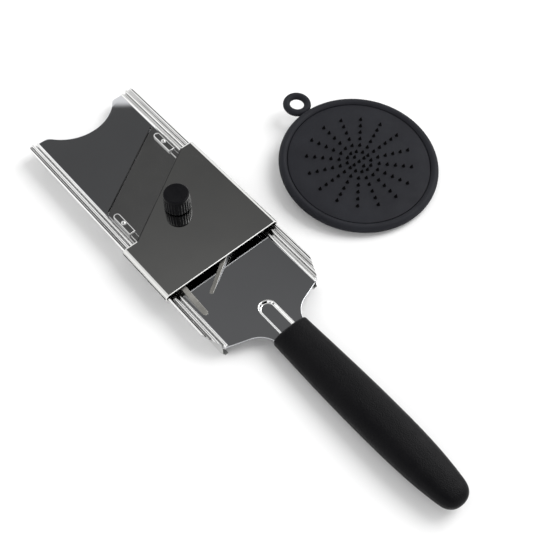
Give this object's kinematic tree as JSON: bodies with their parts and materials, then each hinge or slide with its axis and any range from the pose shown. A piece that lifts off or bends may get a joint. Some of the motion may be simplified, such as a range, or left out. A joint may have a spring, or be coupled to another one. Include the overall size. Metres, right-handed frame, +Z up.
{
  "type": "mandoline slicer",
  "caption": "Hand-held steel mandoline slicer with a skewed blade on a knob-clamped slider, a black handle and a loose round spiked food holder.",
  "frame": {"origin": "centre of the set's footprint on the worktop, slicer and food holder together", "axes": "+X from the slicer's bitten front end to the end of its handle, +Y from the slicer to the food holder, +Z up from the worktop"},
  "size_m": [0.3418, 0.208, 0.0276],
  "materials": {
    "polished_steel": "mirror-polished stainless sheet",
    "rail_steel": "polished folded sheet",
    "blade_steel": "ground and polished",
    "hardware_steel": "plain turned",
    "brass": "turned",
    "knob_black": "satin moulded",
    "grip_black": "fine leather-like grain",
    "core_black": "plain moulded",
    "holder_black": "fine matte grain"
  },
  "bodies": {
    "body": {"base_plate": "polished_steel", "left_rail": "rail_steel", "right_rail": "rail_steel", "handle_core": "core_black", "tang_pins": "hardware_steel", "handle_grip": "grip_black"},
    "slider": {"slider_plate": "polished_steel", "blade": "blade_steel", "left_hanger": "blade_steel", "right_hanger": "blade_steel", "hanger_rivets": "blade_steel", "clamp_screw": "hardware_steel", "spring_washer": "hardware_steel", "clamp_plate": "hardware_steel", "spacer_sleeve": "hardware_steel"},
    "washer": {"knob_washer": "hardware_steel"},
    "knob": {"knob_body": "knob_black", "knob_insert": "brass", "knob_cap": "knob_black"},
    "guard": {"guard_dish": "holder_black", "spike_plate": "holder_black", "guard_grip": "holder_black", "grip_screw": "hardware_steel"}
  },
  "joints": [
    {"name": "slider_slide", "type": "slide", "parent": "body", "child": "slider", "axis": [1, 0, 0], "range_m": [-0.0014, 0.014]},
    {"name": "knob_lift", "type": "slide", "parent": "slider", "child": "washer", "axis": [0, 0, 1], "range_m": [0, 0.0014]},
    {"name": "knob_turn", "type": "hinge", "parent": "washer", "child": "knob", "pos_m": [-0.0686, -0.0587, 0.0159], "axis": [0, 0, 1], "range_deg": [0, 720]},
    {"name": "guard_lift", "type": "slide", "parent": "body", "child": "guard", "axis": [0, 0, 1], "range_m": [0, 0.1]}
  ],
  "couplings": [
    {"joint": "knob_turn", "follows": "knob_lift", "rad_per_m": 8975.9}
  ]
}
